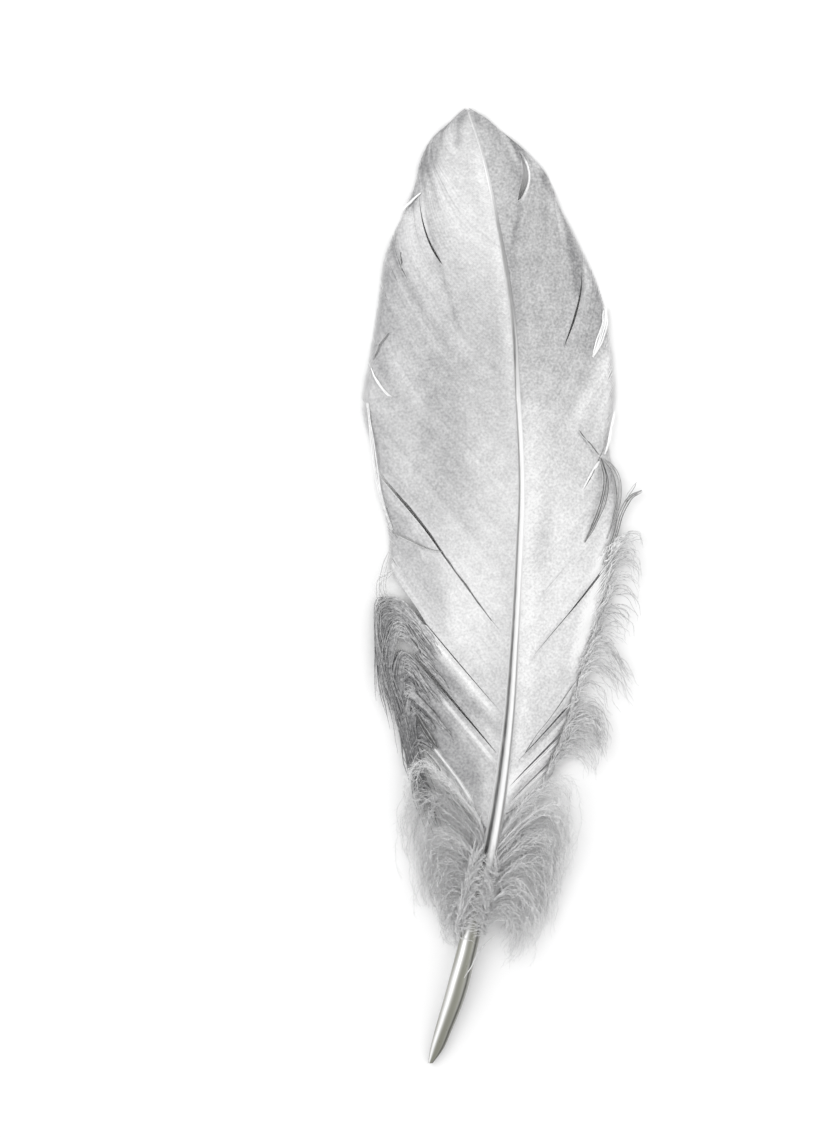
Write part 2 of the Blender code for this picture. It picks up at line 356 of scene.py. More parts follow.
MIDDLE_TONE = 0.5
UNEVEN_TONE = (0.02, 0.04)  # from barb to barb, and in swells across them
DARKEST = 0.12
CLOUD_SIZE = 3.125       # faint clouds in the spray
CLOUD_TONE = 0.07

# The vane's outline: back, across
LEFT_EDGE = (
    (0.0, -6.8), (0.9, -8.0), (3.0, -10.2), (5.6, -13.2), (10.1, -15.7), (15.2, -16.9),
    (20.5, -19.2), (28.5, -22.6), (35.0, -23.6), (46.4, -25.3), (57.5, -26.9), (64.0, -25.3),
    (72.2, -23.9), (80.0, -22.0), (90.6, -21.5), (101.3, -20.3), (115.0, -18.4), (128.0, -16.0),
)
# How far ahead of its root a barb reaches the edge: root, reach
LEFT_REACH = (
    (0.0, 0.0), (5.3, 3.9), (11.0, 8.4), (20.5, 16.6), (29.4, 23.9), (37.6, 28.8),
    (46.2, 31.4), (65.2, 35.6), (88.0, 35.4), (102.6, 34.5), (116.8, 26.6), (137.4, 22.4),
)
# Slits: the root they run from, the barb's share where they start, are widest and have closed
# again, and their width
LEFT_SLITS = (
    (28.0, 0.76, 0.96, 1.3, 0.45),
    (43.3, 0.51, 0.56, 0.96, 0.48),
    (58.0, 0.78, 0.84, 0.92, 0.26),
    (62.5, 0.86, 0.90, 0.95, 0.20),
    (102.5, 0.05, 0.30, 1.02, 0.14),
    (102.5, 0.52, 0.82, 1.02, 0.50),
    (116.6, 0.05, 0.50, 1.30, 0.20),
    (116.6, 0.74, 1.00, 1.40, 1.50),
    (124.5, 0.08, 0.74, 1.30, 0.46),
)


def barb_place(edge, reach, root, share):
    """Where the barb from this root has come to, as a share of its way from the shaft to the edge."""
    back = root - along(reach, root)[0] * share * (BARB_BEND + (1 - BARB_BEND) * share)
    shaft_across = along(SHAFT, back)[0]
    return shaft_across + (along(edge, back)[0] - shaft_across) * share, back


def vane_height(edge, across, back):
    """Height of the vane's underside, which falls from the shaft to the table like a roof."""
    shaft_across, underside, _, half_height = along(SHAFT, back)
    attach = underside + 2 * half_height * ATTACH - PLATE / 2
    span = np.maximum(np.abs(along(edge, back)[0] - shaft_across), 0.5)
    out = np.minimum(np.abs(across - shaft_across) / span, 1.0)
    return np.maximum(attach * (1 - ROOF * out - (1 - ROOF) * out * out), 0.0)


def unit(vectors):
    return vectors / np.maximum(np.linalg.norm(vectors, axis=-1, keepdims=True), 1e-12)


def soft_noise(size, step):
    """A smooth random line of this many values, whose swells are about so many values long."""
    knots = rng.normal(0.0, 1.0, int(size / step) + 3)
    where = np.linspace(0.0, len(knots) - 1.001, size)
    i = where.astype(int)
    s = fade(where - i, 0.0, 1.0)
    return knots[i] * (1 - s) + knots[i + 1] * s


def guide_lines(name, places, facing, **values):
    """The strands' middle lines as chains of edges, with what the sweep reads on their points."""
    strands, points = places.shape[:2]
    mesh = bpy.data.meshes.new(name)
    first = np.arange(strands * points).reshape(strands, points)
    edges = np.stack((first[:, :-1], first[:, 1:]), axis=-1).reshape(-1, 2)
    mesh.from_pydata(places.reshape(-1, 3).tolist(), edges.tolist(), [])
    mark_points(mesh, "facing", facing, "FLOAT_VECTOR", "vector")
    for key, value in values.items():
        mark_points(mesh, key, np.broadcast_to(value, (strands, points)))
    return mesh


def start_tree(name, **inputs):
    """An empty node tree that takes a shape and these named inputs, and gives a shape."""
    tree = bpy.data.node_groups.new(name, "GeometryNodeTree")
    tree.interface.new_socket("Geometry", in_out="INPUT", socket_type="NodeSocketGeometry")
    for label, kind in inputs.items():
        tree.interface.new_socket(label, in_out="INPUT", socket_type="NodeSocket" + kind)
    tree.interface.new_socket("Geometry", in_out="OUTPUT", socket_type="NodeSocketGeometry")
    return tree, tree.nodes.new("NodeGroupInput").outputs


def read_value(tree, name, kind="FLOAT"):
    return add_node(tree, "GeometryNodeInputNamedAttribute", "Attribute", {"Name": name}, data_type=kind)


def sweep_lines(tree, given):
    """Chains of edges become curves, and a flat section is swept along them."""
    lines = add_node(tree, "GeometryNodeMeshToCurve", "Curve", {"Mesh": given["Geometry"]})
    facing = read_value(tree, "facing", "FLOAT_VECTOR")
    lines = add_node(tree, "GeometryNodeSetCurveNormal", "Curve", {"Curve": lines, "Normal": facing},
                     mode="FREE")
    circle = add_node(tree, "GeometryNodeCurvePrimitiveCircle", "Curve",
                      {"Resolution": given["Sides"], "Radius": 0.5})
    flat = add_node(tree, "ShaderNodeCombineXYZ", "Vector", {"X": given["Flatness"], "Y": 1.0, "Z": 1.0})
    section = add_node(tree, "GeometryNodeTransform", "Geometry", {"Geometry": circle, "Scale": flat})
    swept = add_node(tree, "GeometryNodeCurveToMesh", "Mesh", {
        "Curve": lines, "Profile Curve": section, "Scale": read_value(tree, "breadth"), "Fill Caps": True})
    return lines, swept


def end_tree(tree, given, shape):
    """The shape goes out realized, flat shaded and given its material."""
    real = add_node(tree, "GeometryNodeRealizeInstances", "Geometry", {"Geometry": shape})
    facets = add_node(tree, "GeometryNodeSetShadeSmooth", "Geometry",
                      {"Geometry": real, "Shade Smooth": False})
    painted = add_node(tree, "GeometryNodeSetMaterial", "Geometry",
                       {"Geometry": facets, "Material": given["Material"]})
    feed(tree, tree.nodes.new("NodeGroupOutput"), {"Geometry": painted})


def strand_tree():
    tree, given = start_tree("barbs_along_lines", Sides="Int", Flatness="Float", Material="Material")
    _, swept = sweep_lines(tree, given)
    end_tree(tree, given, swept)
    return tree


def grow(name, guides, tree, **inputs):
    """Run a node tree on guide lines, keep the result as a plain mesh, and add it as a piece."""
    seedling = set_out(name + "_guides", guides)
    growth = seedling.modifiers.new("growth", "NODES")
    growth.node_group = tree
    for socket in tree.interface.items_tree:
        if socket.in_out == "INPUT" and socket.name in inputs:
            growth[socket.identifier] = inputs[socket.name]
    ready = bpy.context.evaluated_depsgraph_get()
    mesh = bpy.data.meshes.new_from_object(
        seedling.evaluated_get(ready), preserve_all_data_layers=True, depsgraph=ready)
    bpy.data.objects.remove(seedling, do_unlink=True)
    mesh.name = name
    add_piece(name, mesh)


def barb_paint(name, dark, light, metallic, grain_size, grain):
    """Silver paint on barbs: their tone, with its painted light and shade, broken by fine droplets' speckle.
    """
    paint, tree = start_paint(name)
    tone = add_node(tree, "ShaderNodeAttribute", "Fac", attribute_name="tone")
    place = add_node(tree, "ShaderNodeTexCoord", "Object")
    droplets = mottle(tree, place, 1 / (grain_size * MM), 2.0)
    clouds = mottle(tree, place, 1 / (CLOUD_SIZE * MM), 3.0)
    speckle = spread_out(tree, droplets, -grain, grain, 0.25, 0.75)
    drift = spread_out(tree, clouds, -CLOUD_TONE, CLOUD_TONE, 0.3, 0.7)
    cover = reckon(tree, "ADD", tone, reckon(tree, "ADD", speckle, drift), clamp=True)
    feed(tree, tree.nodes["Principled BSDF"], {
        "Base Color": mix_colours(tree, cover, (*dark, 1.0), (*light, 1.0)),
        "Metallic": metallic,
        "Roughness": spread_out(tree, droplets, 0.34, 0.52),
        "Normal": roughen(tree, droplets, 0.3, 0.05),
    })
    return paint


def slit_push(slits, roots, share):
    """How far along the shaft each barb is pushed from the slits beside it."""
    push = np.zeros(np.broadcast(roots, share).shape)
    for root, start, widest, closed, width in slits:
        opening = np.sqrt(np.clip((share - start) / (widest - start), 0.0, 1.0))
        closing = np.sqrt(np.clip((closed - share) / (closed - widest), 0.0, 1.0))
        near = np.exp(-np.abs(roots - root) / np.maximum(SLIT_SPREAD, 1.8 * width))
        push += np.sign(roots - root) * width * opening * closing * near
    return push


def lock_crowns(slits, roots, share):
    """Barbs that still hold together bulge a little between the places where they part."""
    bounds = [roots[0, 0] - 3.0]
    while bounds[-1] < roots[-1, 0]:
        bounds.append(bounds[-1] + rng.uniform(*LOCK_SIZES))
    bounds = np.array(sorted(bounds + [slit[0] for slit in slits]))
    i = np.clip(np.searchsorted(bounds, roots) - 1, 0, len(bounds) - 2)
    inside = (roots - bounds[i]) / np.maximum(bounds[i + 1] - bounds[i], 0.5)
    crown = LOCK_CROWN[0] + (LOCK_CROWN[1] - LOCK_CROWN[0]) * fade(roots, *LOCKS_LOOSEN)
    return crown * np.sin(np.pi * np.clip(inside, 0, 1)) * share ** 1.2, bounds


def from_line(across, back, places):
    """How far each point lies from the line through these places."""
    nearest = np.full(across.shape, np.inf)
    for (x, y), (next_x, next_y) in zip(places, places[1:]):
        run = (next_x - x, next_y - y)
        s = ((across - x) * run[0] + (back - y) * run[1]) / (run[0] ** 2 + run[1] ** 2)
        s = np.clip(s, 0.0, 1.0)
        nearest = np.minimum(nearest, np.hypot(across - x - s * run[0], back - y - s * run[1]))
    return nearest


def vane_tone(roots, share, across, back, tones, fold_shading, margin):
    """How light barbs are, streaks aside: uneven spray, painted light and shade, a darker margin."""
    tone = MIDDLE_TONE + UNEVEN_TONE[0] * rng.normal(0.0, 1.0, roots.shape)
    tone = tone + UNEVEN_TONE[1] * soft_noise(BARBS_A_SIDE, 5)[:, None] * share
    tone = tone - margin * fade(share, *MARGIN) * (1 - fade(roots, *MARGIN_ENDS))
    for spot_across, spot_back, wide, long, change in tones:
        tone = tone + change * peak(across, spot_across, wide) * peak(back, spot_back, long)
    for half, change, line in fold_shading:
        tone = tone + change * peak(from_line(across, back, line), 0.0, half)
    return tone


def grow_vane(name, edge, reach, last_root, slits, bands, tones, fold_shading, margin, loss, paint):
    """Barbs from the shaft to the vane's edge, pushed apart at the slits, and shortened by wear low down."""
    roots = np.linspace(VANE_START, last_root, BARBS_A_SIDE)[:, None]
    length = 1 - np.abs(rng.normal(0.0, UNEVENNESS, roots.shape))
    worn_root, worn_share = loss
    worn_share = grown(roots, worn_share, worn_root - 0.5, worn_root + 0.5)
    length = length - worn_share * rng.uniform(0.7, 1.3, roots.shape)
    share = np.linspace(0.0, 1.0, BARB_POINTS)[None, :] * length
    flat = np.stack(barb_place(edge, reach, roots, share), axis=-1)
    ahead = unit(np.gradient(flat, axis=1))
    aside = np.gradient(flat, axis=0)
    aside = aside - ahead * np.sum(aside * ahead, axis=-1, keepdims=True)
    breadth = np.maximum(np.linalg.norm(aside, axis=-1) * BARB_OVERLAP, BARB_LEAST)
    breadth = breadth * (1 - grown(share / length, *BARB_TAPER))

    crown, bounds = lock_crowns(slits, roots, share)
    nicks = [(bound, rng.uniform(*NICK_STARTS), 1.0, 1.4, rng.uniform(*NICK_WIDTHS)) for bound in bounds]
    pushed = roots + slit_push(tuple(slits) + tuple(nicks), roots, share)
    pushed = pushed + WANDER * soft_noise(BARBS_A_SIDE, 4)[:, None] * share
    across, back = barb_place(edge, reach, np.clip(pushed, VANE_START, last_root + 2), share)
    height = vane_height(edge, across, back) + SHEET_MIDDLE + crown
    for period, size in RIPPLES:
        start = rng.uniform(0, math.tau)
        height = height + size * np.sin(math.tau * roots / period + start + 1.5 * share) * share
    streak = 0.0
    for root, wide, first, last, change, lift in bands:
        band = peak(roots, root, wide) * between(share, (first - STREAK_END, first + STREAK_END),
                                                 (last - STREAK_END, last + STREAK_END))
        streak = streak + change * band
        height = height + lift * band
    places = world(across, back, np.maximum(height + rng.normal(0.0, UNEVENNESS, roots.shape), LOWEST))
    facing = unit(np.cross(np.gradient(places, axis=0), unit(np.gradient(places, axis=1))))
    facing = facing * np.sign(facing[..., 2:3])
    tone = np.maximum(vane_tone(roots, share, across, back, tones, fold_shading, margin) + streak, DARKEST)
    guides = guide_lines(name, places, facing, breadth=breadth * MM, tone=tone)
    grow(name, guides, STRANDS, Sides=6, Flatness=BARB_FLATNESS, Material=paint)


STRANDS = strand_tree()
LEFT_PAINT = barb_paint("silver_on_left_barbs", dark=(0.26, 0.26, 0.265), light=(0.86, 0.86, 0.86),
                        metallic=0.5, grain_size=0.46, grain=0.18)
# Patches of painted highlight and painted shade, with the spray's unevenness: across, back, half
# width, half length, change of tone
LEFT_TONES = (
    (-6.0, 22.0, 6.0, 20.0, 0.20),
    (-14.0, 42.0, 9.0, 18.0, -0.20),
    (-10.0, 66.0, 8.0, 16.0, -0.22),
    (-23.0, 38.0, 4.0, 22.0, -0.25),
    (-6.0, 95.0, 9.0, 16.0, 0.28),
    (-15.0, 112.0, 7.0, 12.0, -0.30),
    (-11.0, 122.0, 5.0, 8.0, -0.15),
)
# Streaks along the barbs, raised or sunk, and painted lighter or darker: painted highlight where
# edges lift and catch the light, painted shade beside slits: root, half width, the shares between
# which they run, change of tone, lift
LEFT_BANDS = (
    (23.0, 4.5, 0.68, 0.90, -0.25, 0.00),
    (36.8, 2.2, 0.75, 1.20, 0.25, 0.00),
    (47.0, 6.5, 0.10, 0.40, -0.13, 0.00),
    (73.0, 11.0, -0.20, 0.38, 0.17, 0.00),
    (110.0, 4.5, 0.55, 1.20, -0.28, 0.00),
    (122.2, 1.4, 0.10, 0.26, 0.35, 0.00),
    (122.8, 2.2, 0.62, 1.20, -0.40, 0.00),
    (134.2, 4.6, 0.22, 1.20, -0.40, 0.00),
    (117.9, 1.0, 0.15, 0.95, 0.34, 0.12),
    (121.2, 1.9, 0.12, 1.20, -0.30, 0.00),
    (124.3, 0.4, 0.30, 1.00, -0.25, -0.15),
    (126.1, 0.5, 0.12, 0.62, 0.40, 0.15),
    (129.5, 1.8, 0.55, 1.20, -0.10, 0.00),
    (133.9, 0.5, 0.60, 0.90, -0.15, -0.10),
    (138.0, 0.6, 0.34, 0.90, 0.95, 0.25),
)
# Soft lines of painted shade and painted highlight where the sheet is folded or rubbed: half
# width, change of tone, and the places that they pass
LEFT_FOLD_SHADING = (
    (0.7, -0.35, ((-6.8, 0.0), (-8.4, 3.0), (-8.6, 7.0))),
    (1.4, -0.25, ((-8.0, 1.0), (-11.5, 4.8), (-13.8, 8.6), (-14.2, 15.0))),
    (1.2, -0.35, ((-14.6, 9.5), (-16.3, 13.8), (-17.6, 18.5))),
    (0.5, -0.25, ((-14.5, 21.0), (-11.5, 32.0), (-8.5, 42.0))),
    (1.1, 0.20, ((-4.8, 9.0), (-3.6, 15.0), (-1.9, 22.0), (-0.6, 29.0), (0.5, 37.0), (1.3, 45.0))),
    (1.2, 0.10, ((1.3, 45.0), (2.0, 60.0))),
)
grow_vane("left_vane", LEFT_EDGE, LEFT_REACH, last_root=138.3, slits=LEFT_SLITS, bands=LEFT_BANDS,
          tones=LEFT_TONES, fold_shading=LEFT_FOLD_SHADING, margin=0.12, loss=(116.9, 0.12), paint=LEFT_PAINT)

# ----------------------------------------
# The right vane, the narrower one, of the same barbs. One slit stands open near its tip, a long
# one curves inside its edge, and its edge is frayed where it was handled.
RIGHT_EDGE = (
    (0.0, -6.8), (0.9, -5.4), (1.9, -3.6), (3.8, -1.3), (7.8, 3.6), (12.4, 8.0),
    (19.0, 10.7), (25.1, 13.9), (33.8, 18.0), (45.4, 20.5), (55.0, 21.3), (64.2, 20.2),
    (73.0, 21.8), (82.3, 21.3), (95.6, 18.9), (105.3, 15.6), (113.4, 13.8), (120.3, 11.8),
    (133.0, 6.3),
)
RIGHT_REACH = (
    (0.0, 0.0), (5.3, 3.9), (10.1, 7.6), (17.7, 13.8), (26.2, 20.4), (34.8, 25.3),
    (44.3, 29.6), (58.0, 35.6), (68.0, 30.0), (76.6, 25.4), (87.0, 22.8), (107.9, 24.6),
    (122.2, 17.4), (141.2, 9.8),
)
RIGHT_SLITS = (
    (23.6, 0.40, 0.64, 0.90, 2.30),
    (23.6, 0.86, 0.96, 1.30, 0.24),
    (36.1, 0.88, 0.93, 1.02, 0.20),
    (50.5, 0.90, 0.97, 1.06, 0.20),
    (60.5, 0.50, 0.66, 0.88, 0.45),
    (69.5, 0.82, 0.94, 1.12, 0.40),
    (86.0, 0.62, 0.80, 0.95, 0.22),
    (97.5, 0.20, 0.40, 0.60, 0.10),
    (109.5, 0.22, 0.60, 1.40, 0.16),
    (109.5, 0.62, 0.95, 1.40, 0.30),
    (127.0, 0.22, 0.90, 1.40, 0.35),
    (131.1, 0.18, 0.90, 1.40, 0.40),
    (134.8, 0.30, 0.90, 1.40, 0.30),
    (138.0, 0.20, 0.85, 1.40, 0.35),
)
# Patches of painted highlight and painted shade on this side too
RIGHT_TONES = (
    (8.0, 26.0, 8.0, 18.0, -0.12),
    (12.0, 44.0, 7.0, 12.0, -0.08),
    (10.0, 88.0, 10.0, 26.0, 0.30),
)
# Streaks on this side: painted highlight, also where the margin falls away, and painted shade
RIGHT_BANDS = (
    (24.5, 0.7, 0.48, 0.86, 0.60, 0.15),
    (22.7, 0.4, 0.45, 0.80, -0.16, 0.00),
    (23.2, 0.8, 0.86, 1.20, -0.35, 0.00),
    (18.0, 4.0, 0.60, 1.20, 0.38, 0.00),
    (42.0, 12.0, 0.88, 1.20, 0.28, 0.00),
    (77.0, 6.0, 0.84, 1.20, 0.20, 0.00),
    (87.0, 5.5, 0.12, 0.30, -0.26, 0.00),
    (112.0, 9.0, 0.80, 1.20, 0.60, 0.00),
    (52.0, 4.0, 0.86, 1.20, 0.40, 0.00),
    (127.0, 10.0, -0.20, 0.10, -0.70, 0.00),
    (60.5, 1.0, 0.80, 1.00, -0.20, 0.00),
    (66.5, 2.2, 0.70, 1.20, -0.22, 0.00),
    (73.0, 2.0, 0.60, 1.20, 0.25, 0.10),
    (86.0, 0.8, 0.62, 0.87, 0.30, 0.10),
    (98.0, 1.2, 0.20, 0.60, -0.12, 0.00),
    (109.6, 0.7, 0.20, 0.95, -0.15, -0.10),
    (127.5, 1.0, 0.36, 1.10, -0.18, 0.00),
    (131.0, 1.5, 0.10, 1.00, 0.38, 0.00),
    (133.4, 0.7, 0.25, 1.10, -0.20, 0.00),
    (137.5, 4.5, 0.46, 0.95, 0.60, 0.00),
    (136.4, 0.8, 0.30, 1.10, 0.20, 0.15),
    (139.8, 0.9, 0.25, 0.95, 0.35, 0.20),
)
# Painted shade and painted highlight along fold lines on this side
RIGHT_FOLD_SHADING = (
    (0.80, -0.45, ((7.6, 12.5), (8.2, 14.0), (10.1, 17.9), (12.2, 23.8), (13.7, 29.5), (14.3, 34.8))),
    (2.00, -0.22, ((-5.0, 1.5), (-1.0, 4.5), (2.0, 9.0), (3.6, 15.0))),
    (0.80, -0.60, ((1.8, 5.2), (3.4, 9.3))),
    (1.20, -0.15, ((1.2, 27.0), (2.6, 36.0), (3.3, 42.0))),
    (2.40, 0.24, ((4.6, 58.0), (4.8, 75.0), (4.4, 88.0), (3.6, 102.0), (2.6, 117.0), (1.0, 131.0))),
    (0.60, 0.20, ((9.6, 12.5), (12.6, 20.5), (15.2, 28.5), (16.2, 34.0))),
    (0.60, -0.28, ((3.2, 19.0), (1.9, 26.0))),
)
# The droplets stand coarser on this side
RIGHT_PAINT = barb_paint("silver_on_right_barbs", dark=(0.26, 0.26, 0.265), light=(0.86, 0.86, 0.86),
                         metallic=0.5, grain_size=0.48, grain=0.24)
grow_vane("right_vane", RIGHT_EDGE, RIGHT_REACH, last_root=141.0, slits=RIGHT_SLITS, bands=RIGHT_BANDS,
          tones=RIGHT_TONES, fold_shading=RIGHT_FOLD_SHADING, margin=0.05, loss=(141.0, 0.0), paint=RIGHT_PAINT)

# ----------------------------------------
# The loosened ends of the lower barbs. Past the sheet's edge they have no hooks left, so they run
# on a little, bend over and hang down the feather's sides in fine curling strands.
END_POINTS = 22
COURSE_POINTS = 80
CLEARANCE = 2.4          # barbules reach their full length this high above the table
SWAYS = (1.4, 3.1, 6.3)  # waves along a strand, the shorter the lower
REACH = ((-1, 24.7), (1, 26.7))  # side, and how far out its strands come at most
REACH_EASES = 1.2        # room over which they are held back
RISE = (0.25, 0.8)       # how far the ends stand over the vane: where they leave it, and in the bend
HANG = (1.5, 0.6, 3.2)   # height over the table at which they end: middle, least, most
MATTED = (0.13, 127.0, 133.0)  # how much lighter the bends are: foremost roots, and where that ends
END_SECTION = (4, 0.2)   # a strand's sides, and its thickness over its breadth
BARBULE_JOINTS = 2


def strand_guides(name, line, breadth, tone, fluff):
    """Guide lines for loose strands, whose flat side looks up."""
    places = world(line[..., 0], line[..., 1], np.maximum(line[..., 2], 0.1))
    ahead = unit(np.gradient(places, axis=1))
    facing = unit(np.array((0.0, 0.0, 1.0)) - ahead * ahead[..., 2:3])
    fluff = np.minimum(fluff, places[..., 2] / (CLEARANCE * MM))
    return guide_lines(name, places, facing, breadth=breadth * MM, tone=tone, fluff=fluff)


def grow_fluffy(name, line, breadth, tone, fluff, section, barbules, seed, paint):
    """Loose strands of this section, set with barbules: their spacing, length and thickness."""
    sides, flatness = section
    spacing, length, thickness = (size * MM for size in barbules)
    grow(name, strand_guides(name, line, breadth, tone, fluff), FLUFFY, Sides=sides, Flatness=flatness,
         Spacing=spacing, Length=length, Thickness=thickness, Joints=BARBULE_JOINTS, Seed=seed,
         Material=paint)


def by_lock(lock, shared, alone):
    """Random values that the strands of one lock nearly share."""
    return rng.normal(0.0, shared, lock.max() + 1)[lock] + rng.normal(0.0, alone, len(lock))


def lay_out(first, rows, roots, lock, apart, loose, shortness, wave):
    """Courses on the flat: from their first places smoothly past the rows' places, kept in locks."""
    count = len(roots)
    courses = along(rows, roots).reshape(-1, 2, count).transpose(2, 0, 1)
    away = np.linspace(0.25, 1.0, courses.shape[1])
    for axis in (0, 1):
        courses[..., axis] += by_lock(lock, apart, loose)[:, None] * away
    knots = np.concatenate((first, courses), axis=1)
    t = np.linspace(0.0, knots.shape[1] - 1, COURSE_POINTS)
    i = np.clip(t.astype(int), 0, knots.shape[1] - 2)
    s = (t - i)[None, :, None]
    slopes = np.gradient(knots, axis=1)
    line = curve(knots[:, i], knots[:, i + 1], slopes[:, i], slopes[:, i + 1], s)
    stop = np.clip(1 - np.abs(by_lock(lock, 0.4 * shortness, shortness)), 0.25, 1.0)
    s = np.linspace(0.0, 1.0, END_POINTS)
    flat = np.zeros((count, END_POINTS, 2))
    for k in range(count):
        run = np.concatenate(((0.0,), np.cumsum(np.hypot(*np.diff(line[k], axis=0).T))))
        for axis in (0, 1):
            flat[k, :, axis] = np.interp(s * stop[k] * run[-1], run, line[k, :, axis])
    ahead = unit(np.gradient(flat, axis=1))
    for waves in SWAYS:
        swing = by_lock(lock, 0.5, 0.1)[:, None] + waves * (1 + by_lock(lock, 0.15, 0.06))[:, None] * s
        sway = wave / waves * fade(s, 0.1, 0.7) * np.sin(math.tau * swing)
        flat = flat + sway[..., None] * np.stack((-ahead[..., 1], ahead[..., 0]), axis=-1)
    for side, most in REACH:
        over = np.maximum(flat[..., 0] * side - most + REACH_EASES, 0.0)
        flat[..., 0] -= side * (over - REACH_EASES * (1 - np.exp(-over / REACH_EASES)))
    return flat, s[None, :]


def grow_ends(name, edge, reach, rows, roots, share, inset, lock_size, courses, breadths, tones,
              locks, barbules, seed):
    """Strands that run on from the vane's barbs and turn over."""
    lock = np.floor((roots - roots[0]) / lock_size).astype(int)
    share = share + np.clip(by_lock(lock, 0.3, 0.1), -0.5, 0.5) * inset
    first = [np.stack(barb_place(edge, reach, roots, share - inset * k), axis=-1) for k in (1, 0)]
    flat, s = lay_out(np.stack(first, axis=1), rows, roots, lock, **courses)
    on_vane = vane_height(edge, flat[..., 0], flat[..., 1]) + SHEET_MIDDLE
    bend = np.abs(RISE[1] + by_lock(lock, 0.25, 0.06))[:, None]
    rise = RISE[0] * fade(s, 0.05, 0.3) + bend * fade(s, 0.2, 0.5)
    low = np.clip(HANG[0] + by_lock(lock, 0.4, 0.2), *HANG[1:])[:, None]
    hanging = fade(s, 0.45, 0.95)
    height = (on_vane + rise) * (1 - hanging) + low * hanging
    line = np.concatenate((flat, height[..., None]), axis=-1)
    broad, fine = breadths
    breadth = (broad - (broad - fine) * fade(s, 0.35, 0.9)) * (0.3 + 0.7 * fade(s, 0.0, 0.15))
    breadth = breadth * (1 - 0.6 * fade(s, 0.9, 1.0))
    near, far = tones
    far = far + by_lock(lock, 0.05, 0.03)
    for root, wide, change in locks:
        far = far + change * peak(roots, root, wide)
    matted = (MATTED[0] - grown(roots, *MATTED))[:, None] * between(s, (0.1, 0.3), (0.4, 0.6))
    tone = near + (far - near)[:, None] * fade(s, 0.05, 0.35) + matted
    fluff = fade(s, 0.3, 0.6) * (1 - 0.4 * s)
    grow_fluffy(name, line, breadth, tone, fluff, END_SECTION, barbules, seed, LOOSE_PAINT)


def fluffy_tree():
    """The same swept strands, each with fine barbules that stand out from it all round."""
    tree, given = start_tree(
        "barbs_with_barbules", Sides="Int", Flatness="Float", Spacing="Float", Length="Float",
        Thickness="Float", Joints="Int", Seed="Int", Material="Material")
    lines, swept = sweep_lines(tree, given)
    spots = tree.nodes.new("GeometryNodeCurveToPoints")
    spots.mode = "LENGTH"
    feed(tree, spots, {"Curve": lines, "Length": given["Spacing"]})

    # One barbule, a unit long, tapering to a point and leaning forward from its strand
    slimness = reckon(tree, "DIVIDE", given["Thickness"], given["Length"])
    hair = add_node(tree, "GeometryNodeMeshCone", "Mesh", {
        "Vertices": 3, "Side Segments": given["Joints"], "Radius Top": 0.0, "Radius Bottom": slimness,
        "Depth": 1.0})
    place = add_node(tree, "GeometryNodeInputPosition", "Position")
    out = add_node(tree, "ShaderNodeSeparateXYZ", "Z", {"Vector": place})
    sag = reckon(tree, "MULTIPLY", reckon(tree, "MULTIPLY", out, out), -0.35)
    aside = add_node(tree, "ShaderNodeCombineXYZ", "Vector", {"X": sag})
    bent = add_node(tree, "GeometryNodeSetPosition", "Geometry", {"Geometry": hair, "Offset": aside})
    lean = (0.0, math.radians(50.0), 0.0)
    barbule = add_node(tree, "GeometryNodeTransform", "Geometry", {"Geometry": bent, "Rotation": lean})

    turn = add_node(tree, "FunctionNodeRandomValue", 0, {
        0: (-0.35, -0.45, -math.pi), 1: (0.35, 0.45, math.pi), "Seed": given["Seed"]},
        data_type="FLOAT_VECTOR")
    turn = add_node(tree, "FunctionNodeEulerToRotation", "Rotation", {"Euler": turn})
    turned = add_node(tree, "FunctionNodeRotateRotation", "Rotation",
                      {"Rotation": spots.outputs["Rotation"], "Rotate By": turn}, rotation_space="LOCAL")
    uneven = add_node(tree, "FunctionNodeRandomValue", 1, {2: 0.55, 3: 1.2, "Seed": given["Seed"]})
    fluff = read_value(tree, "fluff")
    length = reckon(tree, "MULTIPLY", reckon(tree, "MULTIPLY", uneven, given["Length"]), fluff)
    kept = add_node(tree, "FunctionNodeCompare", "Result", {0: fluff, 1: 0.1}, operation="GREATER_THAN")
    barbules = add_node(tree, "GeometryNodeInstanceOnPoints", "Instances", {
        "Points": spots.outputs["Points"], "Selection": kept, "Instance": barbule, "Rotation": turned,
        "Scale": length})
    both = tree.nodes.new("GeometryNodeJoinGeometry")
    feed(tree, both, {"Geometry": swept})
    feed(tree, both, {"Geometry": barbules})
    end_tree(tree, given, both.outputs["Geometry"])
    return tree


FLUFFY = fluffy_tree()
LOOSE_PAINT = barb_paint("silver_on_loose_barbs", dark=(0.18, 0.18, 0.185), light=(0.95, 0.95, 0.95),
                         metallic=0.45, grain_size=0.6, grain=0.2)
